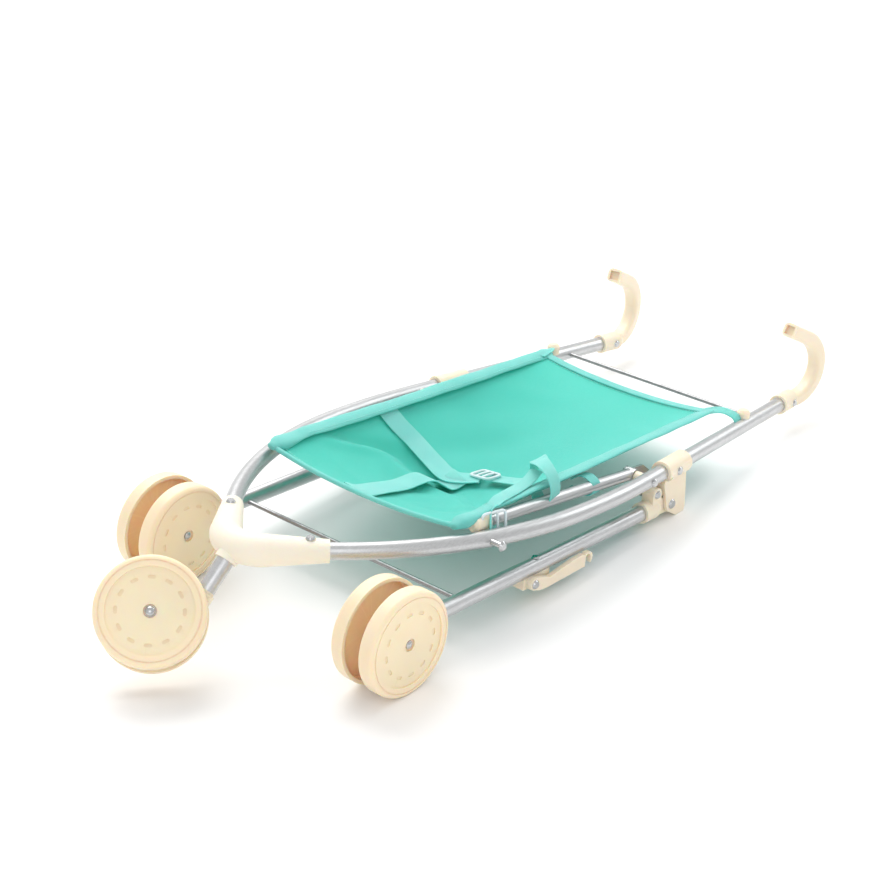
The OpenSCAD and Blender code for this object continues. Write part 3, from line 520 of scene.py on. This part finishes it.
def flatSection(width, thick, steps=5):
    # rounded strip, width across and thick up
    r = thick / 2
    half = width / 2 - r
    pts = []
    for side in (1, -1):
        for k in range(steps + 1):
            a = math.pi * (k / steps - 0.5)
            pts.append((side * (half + r * math.cos(a)), side * r * math.sin(a)))
    return pts


def roundSection(r, steps=12):
    return [(r * math.cos(2 * math.pi * k / steps), r * math.sin(2 * math.pi * k / steps)) for k in range(steps)]


def smoothPath(points, steps=8):
    # Catmull-Rom through the points
    pts = [Vector(p) for p in points]
    ext = [pts[0] * 2 - pts[1]] + pts + [pts[-1] * 2 - pts[-2]]
    out = []
    for i in range(1, len(ext) - 2):
        p0, p1, p2, p3 = ext[i - 1:i + 3]
        for k in range(steps):
            t = k / steps
            out.append(0.5 * ((2 * p1) + (p2 - p0) * t + (2 * p0 - 5 * p1 + 4 * p2 - p3) * t * t
                              + (3 * p1 - p0 - 3 * p2 + p3) * t ** 3))
    out.append(pts[-1])
    return out


# sling

slingSettings = {
    "frontU": 84.0, "backU": 412.0, "frontHalf": 99.5, "backHalf": 92.0,
    "edgeHeight": [(84, 10.5), (120, 14), (200, 13), (412, 15)],
    "frontSag": 7.0, "seatSag": 32.0, "backSag": 8.0, "step": 8.0, "thick": 0.9, "rows": 150, "columns": 90,
    "hemWidth": 13.0,
}


def edgeHeight(u):
    us, ns = zip(*slingSettings["edgeHeight"])
    return float(np.interp(u, us, ns))


def slingHalf(u):
    s = slingSettings
    return lerp(s["frontHalf"], s["backHalf"], (u - s["frontU"]) / (s["backU"] - s["frontU"]))


def foldLine(w):
    # where the front flap meets the seat's hollow
    return 186 - 44 * smooth((w - 58) / 34) - 30 * smooth((-w - 10) / 60)


def slingHeight(u, k):
    s = slingSettings
    t = min(1.0, max(0.0, (u - s["frontU"]) / (s["backU"] - s["frontU"])))
    sag = s["frontSag"] + s["seatSag"] * max(0.0, math.sin(math.pi * t ** 0.8)) ** 0.85
    sag = max(sag, s["backSag"] * t)
    w = k * slingHalf(u)
    edge = abs(k)
    height = edgeHeight(u) - sag * (1 - edge ** 2.2)
    inside = 1 - edge ** 4
    beyond = (u - foldLine(w)) / 10.0
    strength = 0.35 + 0.65 * smooth((w + 20) / 50)
    ridge = 4.0 * math.exp(-((beyond + 1.0) ** 2) / 1.3)
    valley = 9.0 * math.exp(-((beyond - 0.8) ** 2) / 1.9)
    height += inside * strength * (ridge - valley)
    # slack folds running from the far hem and out of the corners
    farWave = math.sin((u * 0.9 + w * 1.7) / 17.0)
    height += inside * 1.3 * farWave * math.exp(-((u - 262) / 60) ** 2) * smooth((w + 10) / 60)
    cornerFold = math.exp(-((u - 385 + abs(w) * 0.55) / 13.0) ** 2)
    height += 1.1 * inside * cornerFold * smooth((abs(w) - 15) / 45)
    nearFold = math.exp(-((u - 118 + w * 0.35) / 9.0) ** 2)
    height -= 1.6 * inside * nearFold * smooth((-w + 10) / 50)
    ripple = math.sin(u / 7.3 + math.sin(w / 15.0) * 2.1)
    height += 0.5 * inside * ripple * math.exp(-((u - 150) / 45) ** 2)
    return height


def slingPoint(u, k, lift=0.0):
    return onFrame(u, k * slingHalf(u), slingHeight(u, k) + lift)


def onSling(u, w, lift=0.0):
    return slingPoint(u, w / slingHalf(u), lift)


def makeSling(s):
    rows, cols, thick = s["rows"], s["columns"], s["thick"]
    top, uvs = [], []
    for i in range(rows + 1):
        t = i / rows
        for j in range(cols + 1):
            k = 2 * j / cols - 1
            bow = 2.5 * (1 - k * k)
            u = lerp(s["frontU"] - bow * 0.6, s["backU"] + bow * 0.8, t)
            top.append(slingPoint(u, k * 0.985))
            uvs.append((u * mm, k * slingHalf(u) * mm))
    width = cols + 1
    normals = []
    for i in range(rows + 1):
        for j in range(cols + 1):
            a = top[min(i + 1, rows) * width + j] - top[max(i - 1, 0) * width + j]
            b = top[i * width + min(j + 1, cols)] - top[i * width + max(j - 1, 0)]
            normals.append(a.cross(b).normalized())
    under = len(top)
    points = top + [p - n * (thick * mm) for p, n in zip(top, normals)]
    faces = []
    for i in range(rows):
        for j in range(cols):
            a, b = i * width + j, (i + 1) * width + j
            faces.append((a, b, b + 1, a + 1))
            faces.append((a + under, a + 1 + under, b + 1 + under, b + under))
    rim = [j for j in range(cols)] + [i * width + cols for i in range(rows)]
    rim += [rows * width + j for j in range(cols, 0, -1)] + [i * width for i in range(rows, 0, -1)]
    for i, a in enumerate(rim):
        b = rim[(i + 1) % len(rim)]
        faces.append((a, a + under, b + under, b)[::-1])
    return makeMesh("slingCloth", points, faces, materials["mint_fabric"], uvs + uvs)


# the two ends of a hinge line on the frame; turnsAtHinge only bakes each piece's transform into its mesh
hingeSettings = {"startU": 302, "endU": 258}
hinge = {"start": onFrame(hingeSettings["startU"], 0, 0), "end": onFrame(hingeSettings["endU"], 0, 0)}


def turnsAtHinge(obj):
    tuple(hinge["start"])
    tuple(hinge["end"])
    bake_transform(obj)


slingCloth = makeSling(slingSettings)
print("sling cloth made")


def makeSideHem(side):
    s = slingSettings
    label = "Right" if side > 0 else "Left"
    steps = 110
    centres, acrosses = [], []
    for i in range(steps + 1):
        u = lerp(s["frontU"] - 3, s["backU"] + 5, i / steps)
        wave = 0.35 * math.sin(u / 6.1 + side) + 0.3 * math.sin(u / 13.7)
        centres.append(onFrame(u, side * (slingHalf(u) - 3.5), edgeHeight(u) + wave * 0.5))
        tilt = math.radians(14 + 3 * math.sin(u / 21.0))
        acrosses.append(Vector((0, side * math.cos(tilt), 0)) + offFrame * math.sin(tilt))
    wide, thick = s["hemWidth"] * mm, 3.6 * mm

    def section(i):
        u = lerp(s["frontU"] - 3, s["backU"] + 5, i / steps)
        pocket = smooth((112 - u) / 22)  # the casing swells over the seat arm's end
        end = 1 - 0.55 * smooth((s["frontU"] + 6 - u) / 9) - 0.5 * smooth((u - s["backU"] + 4) / 9)
        w = lerp(wide, wide * 1.28, pocket) * end
        h = lerp(thick, 9.5 * mm, pocket) * end
        plump = lerp(1.0, 0.82, pocket)
        pts = []
        for k in range(20):
            a = 2 * math.pi * k / 20
            c, d = math.cos(a), math.sin(a)
            acrossHem = abs(c) ** plump * math.copysign(w / 2, c)
            pts.append((acrossHem, abs(d) ** 0.9 * math.copysign(h / 2, d)))
        return pts

    hem = loft("sideHem" + label, centres, acrosses, section, hemCloth)
    return hem, centres, acrosses


hems = []
seams = {}
for side in (1, -1):
    hem, centres, acrosses = makeSideHem(side)
    hems.append(hem)
    seams[side] = (centres, acrosses)


def makeEndBinding(name, u, radius, flat):
    steps = 70
    s = slingSettings
    centres, acrosses = [], []
    for i in range(steps + 1):
        k = 0.97 * (2 * i / steps - 1)
        bow = 2.5 * (1 - k * k)
        uu = u - bow * 0.6 if u < 200 else u + bow * 0.8
        centres.append(slingPoint(uu, k, 0.2))
        acrosses.append(alongFrame.copy())
    profile = flatSection(flat * mm, 2 * radius * mm) if flat else roundSection(radius * mm)
    return loft(name, centres, acrosses, lambda i: profile, hemCloth)


frontPiping = makeEndBinding("frontPiping", slingSettings["frontU"], 2.0, 0)
backHem = makeEndBinding("backHem", slingSettings["backU"] - 2.5, 0.95, 9.0)


def makeStitches(name, path, ups, pitch=3.0, length=2.0, wide=0.42):
    # a row of short raised threads along a path
    points, faces = [], []
    total = [0.0]
    for a, b in zip(path, path[1:]):
        total.append(total[-1] + (b - a).length / mm)
    count = int(total[-1] / pitch)
    for i in range(count):
        ends = []
        for d in (i * pitch, i * pitch + length):
            j = min(len(path) - 2, max(0, int(np.searchsorted(total, d)) - 1))
            t = (d - total[j]) / max(1e-6, total[j + 1] - total[j])
            ends.append((path[j].lerp(path[j + 1], t), ups[j]))
        (a, up), (b, _) = ends
        along = (b - a).normalized()
        side = along.cross(up).normalized()
        base = len(points)
        for f, rise, spread in ((0, 0, 0.4), (0.25, 1, 1), (0.75, 1, 1), (1, 0, 0.4)):
            c = a.lerp(b, f) + up * (rise * 0.18 * mm)
            for q in range(6):
                ang = 2 * math.pi * q / 6
                points.append(c + (side * math.cos(ang) + up * math.sin(ang)) * (wide / 2 * mm * spread))
        for r in range(3):
            for q in range(6):
                m = (q + 1) % 6
                low, high = base + r * 6, base + (r + 1) * 6
                faces.append((low + q, low + m, high + m, high + q))
        faces.append(tuple(base + q for q in reversed(range(6))))
        faces.append(tuple(base + 18 + q for q in range(6)))
    return makeMesh(name, points, faces, thread, [(p.x, p.y) for p in points])


stitchRows = []
for side, label in ((1, "Right"), (-1, "Left")):
    centres, acrosses = seams[side]
    path = [c - a.normalized() * (4.4 * mm) + offFrame * (1.75 * mm)
            for c, a in zip(centres[12:-4], acrosses[12:-4])]
    stitchRows.append(makeStitches("hemStitches" + label, path, [offFrame] * len(path)))
for name, u, lift in (("backStitchesOuter", 407.0, 1.15), ("backStitchesInner", 404.0, 0.55)):
    path = [slingPoint(u + 2.0 * (1 - (0.9 * q) ** 2), 0.9 * q, lift) for q in np.linspace(-1, 1, 50)]
    stitchRows.append(makeStitches(name, path, [offFrame] * len(path)))
path = [slingPoint(90.5 - 1.5 * (1 - q * q), q, 0.25) for q in np.linspace(-0.9, 0.9, 50)]
stitchRows.append(makeStitches("frontStitches", path, [offFrame] * len(path)))
for piece in hems + stitchRows[:2]:
    turnsAtHinge(piece)
turnsAtHinge(slingCloth)
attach(frontPiping, "seat_arms")
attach(backHem, "frame")
for row in stitchRows[2:4]:
    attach(row, "frame")
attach(stitchRows[4], "seat_arms")
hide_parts("sling_seat", "sling_back")
print("hems and stitches made")

# corner loops


def makeRibbon(name, points, width, across, thick=1.1, steps=8, material=None):
    path = smoothPath(points, steps)
    if callable(across):
        acrosses = [across(i / (len(path) - 1)) for i in range(len(path))]
    else:
        acrosses = [across] * len(path)
    return loft(name, path, acrosses, lambda i: flatSection(width * mm, thick * mm), material or webbing)


sideways = Vector((0, 1, 0))
loopSettings = {"width": 11.5, "thick": 1.3}
tabSettings = {"width": 10.0, "thick": 1.1}
for side, label in ((1, "Right"), (-1, "Left")):
    # from the back corner round the knob and the frame tube
    pts = [
        onFrame(400, side * 88.0, 15.6), onFrame(410, side * 90.5, 15.9), onFrame(420, side * 94, 14.8),
        onFrame(427, side * 98.5, 12.2), onFrame(430, side * 104.5, 8.6), onFrame(430, side * 107.4, 1.5),
        onFrame(429, side * 105, -5.5), onFrame(427, side * 99.5, -8.6), onFrame(424, side * 94, -6.5),
    ]

    def across(t, side=side):
        turn = smooth(t * 2)
        return alongFrame * lerp(0.55, 1.0, turn) + Vector((0, -side * lerp(0.83, 0.12, turn), 0))

    loop = makeRibbon(
        "cornerLoop" + label, pts, loopSettings["width"], across, loopSettings["thick"], material=hemCloth
    )
    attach(loop, "frame")
    # a short tab under the seat, from the sling to the seat arm
    pts = [
        onFrame(232, side * 88, 4), onFrame(232, side * 95, 9), onFrame(233, side * 102, 9.2),
        onFrame(233, side * 108.6, 5), onFrame(233, side * 108.4, -2), onFrame(232, side * 102, -5),
        onFrame(231, side * 95, -6), onFrame(230, side * 85, -5),
    ]
    tab = makeRibbon(
        "seatTab" + label, pts, tabSettings["width"], alongFrame, tabSettings["thick"], material=hemCloth
    )
    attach(tab, "seat_arms")
print("corner loops made")

# harness

harnessSettings = {"thick": 1.2, "lapWidth": 19.0, "crotchWidth": 21.0, "sideWidth": 14.5, "lowWidth": 11.0}


def overSling(route, lift):
    return [onSling(u, w, lift + extra) for u, w, extra in route]


lapRoute = [
    (207, 95, 2.2), (209, 80, 2.2), (213, 64, 1.8), (212, 42, 1.6), (209, 22, 1.8), (213, 8, 2.6),
    (220, -4, 4.0),
]
lap = makeRibbon(
    "lapStrap", overSling(lapRoute, 0.5), harnessSettings["lapWidth"],
    lambda t: alongFrame + offFrame * 0.1, harnessSettings["thick"]
)
crotchRoute = [
    (86, 9, 1.6), (100, 12, 2.0), (122, 16, 2.2), (149, 19, 2.8), (176, 18, 4.0), (196, 15, 4.2),
    (212, 10, 4.6),
]


def crotchAcross(t):
    return sideways + alongFrame * lerp(0.35, -0.1, t)


crotch = makeRibbon(
    "crotchStrap", overSling(crotchRoute, 0.5), harnessSettings["crotchWidth"], crotchAcross,
    harnessSettings["thick"]
)
# from the buckle over the left hem, then round it as a standing loop
sidePoints = overSling([(224, -8, 4.2), (227, -22, 4.4), (224, -40, 6.0), (214, -58, 9.0)], 0.8)
sidePoints += [onFrame(u, w, n) for u, w, n in (
    (201, -74, 22), (190, -85, 28.5), (185, -95, 29), (184, -103, 24), (184, -107, 14), (184, -105, 4),
    (185, -98, -2), (187, -90, 0), (188, -85, 5))]


def sideAcross(t):
    return alongFrame * lerp(0.9, 1.0, t) + sideways * lerp(0.1, 0.2, t)


sideStrap = makeRibbon(
    "sideStrap", sidePoints, harnessSettings["sideWidth"], sideAcross, harnessSettings["thick"]
)
lowPoints = [onFrame(u, w, n) for u, w, n in (
    (190, -83, 20), (176, -87, 17.5), (160, -90, 16.5), (142, -93, 17), (128, -96, 17.2), (117, -101, 15),
    (112, -105.5, 9), (113, -106, 2), (118, -104, -2))]


def lowAcross(t):
    return sideways * lerp(1, 0.3, t) + alongFrame * lerp(0, 0.9, t)


lowStrap = makeRibbon("lowStrap", lowPoints, harnessSettings["lowWidth"], lowAcross, harnessSettings["thick"])
for piece in (lap, crotch, sideStrap, lowStrap):
    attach(piece, "seat_arms")
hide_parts("lap_strap")
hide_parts("crotch_strap")
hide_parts("strap_loop")

# box stitching where the crotch strap meets the lap strap
joinPath = [onSling(u, w, 3.6) for u, w in ((203, 10), (203, 22), (214, 22), (214, 10), (203, 10))]
joinStitches = makeStitches("joinStitches", joinPath, [offFrame] * len(joinPath), 2.2, 1.5, 0.4)
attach(joinStitches, "seat_arms")


# moulded slide buckle: an outer ring and two bars, which sit barPlace either side of the middle
slideSettings = {"long": 21.0, "wide": 15.5, "bar": 2.3, "corner": 3.4, "barPlace": 3.1}


def makeSlide(name, centre, along, up, node):
    s = slideSettings
    long, wide, bar, corner = s["long"], s["wide"], s["bar"], s["corner"]
    across = up.cross(along).normalized()
    along, up = along.normalized(), up.normalized()

    def at(a, b, c=0.0):
        return centre + along * (a * mm) + across * (b * mm) + up * (c * mm)

    outline = []
    for sx, sy, start in ((1, 1, 0), (-1, 1, 90), (-1, -1, 180), (1, -1, 270)):
        for q in range(5):
            ang = math.radians(start + q * 22.5)
            a = sx * (wide / 2 - corner) + corner * math.cos(ang)
            b = sy * (long / 2 - corner) + corner * math.sin(ang)
            outline.append((a, b))
    ring = [at(a, b) for a, b in outline]
    ringSection, barSection = roundSection(bar / 2 * mm, 10), roundSection(bar / 2.3 * mm, 10)
    plastic = materials["white_buckle"]
    frameRing = loft(name, ring, [up] * len(ring), lambda i: ringSection, plastic, closed=True)
    bars = [frameRing]
    for k, b in enumerate((-s["barPlace"], s["barPlace"])):
        path = [at(a, b, 0.5 * math.cos(a / wide * math.pi)) for a in np.linspace(-wide / 2, wide / 2, 9)]
        bars.append(loft(name + "Bar" + str(k), path, [up] * len(path), lambda i: barSection, plastic))
    for piece in bars:
        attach(piece, "seat_arms")
    if node:
        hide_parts(node)


slideUp = (offFrame + sideways * 0.15).normalized()
makeSlide("slideBuckle", onSling(224, -5, 6.5), alongFrame + sideways * -0.1, slideUp, "buckle_lap")
sideUp = sideways * -1.0 + alongFrame * -0.25
makeSlide("sideBuckle", onFrame(114, -106.5, 8), offFrame + sideways * 0.1, sideUp, "buckle_side")
print("harness made")

# floor


def makeFloor():
    size = 6.0
    corners = [(-size, -size, 0), (size, -size, 0), (size, size, 0), (-size, size, 0)]
    floor = makeMesh("floor", corners, [(0, 1, 2, 3)], bpy.data.materials.new("floorPaper"),
                     [(0, 0), (1, 0), (1, 1), (0, 1)])
    mat = floor.data.materials[0]
    mat.use_nodes = True
    tree = mat.node_tree
    bsdf = tree.nodes["Principled BSDF"]
    grain = placeGroup(tree, "grain", Grain_Size=700.0, Cloud_Size=1.2)
    base = mixColour(tree, grain.outputs["Cloud"], (0.93, 0.93, 0.93), (0.95, 0.95, 0.95))
    tree.links.new(base, bsdf.inputs["Base Color"])
    bsdf.inputs["Roughness"].default_value = 0.55
    bsdf.inputs["Specular IOR Level"].default_value = 0.2
    addBump(tree, bsdf, grain.outputs["Grain"], 0.03, 0.0001)


makeFloor()

print("cloth area", round(sum(p.area for p in slingCloth.data.polygons) / 2, 5))
